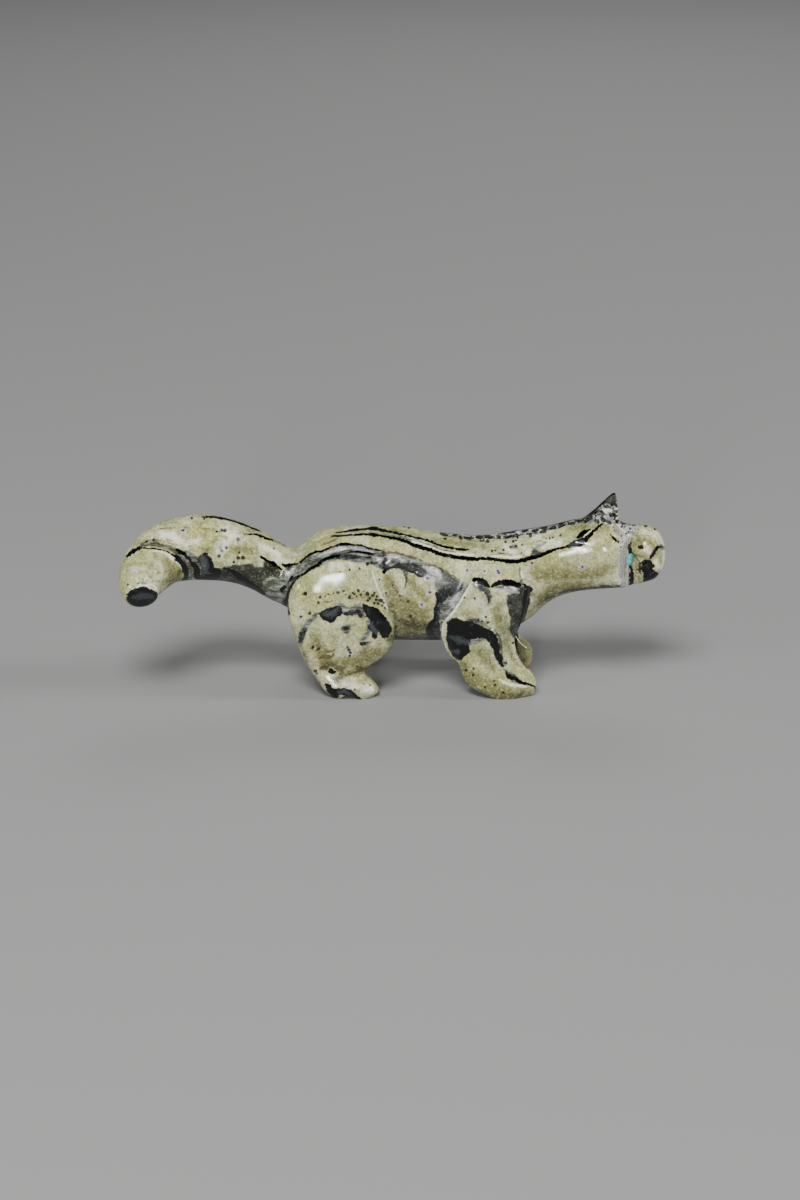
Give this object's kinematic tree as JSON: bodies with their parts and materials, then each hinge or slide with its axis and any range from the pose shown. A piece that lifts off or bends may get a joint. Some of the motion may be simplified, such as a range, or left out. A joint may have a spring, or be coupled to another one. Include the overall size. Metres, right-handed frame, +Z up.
{
  "type": "zuni fetish",
  "caption": "Small carved stone animal with a long arched tail, upright ears, a blunt muzzle and inlaid turquoise eyes, standing on four paws.",
  "frame": {"origin": "middle of the outline seen from above, on the plane of the four soles", "axes": "+X the way the animal looks and the longest side, +Z up, +Y the animal's left"},
  "size_m": [0.089, 0.0218, 0.0319],
  "materials": {
    "banded_stone": "polished, pale olive with black and grey veins",
    "turquoise": "polished inlay"
  },
  "bodies": {
    "root": {"stone_body": "banded_stone", "turquoise_eye_right": "turquoise", "turquoise_eye_left": "turquoise"}
  },
  "joints": []
}
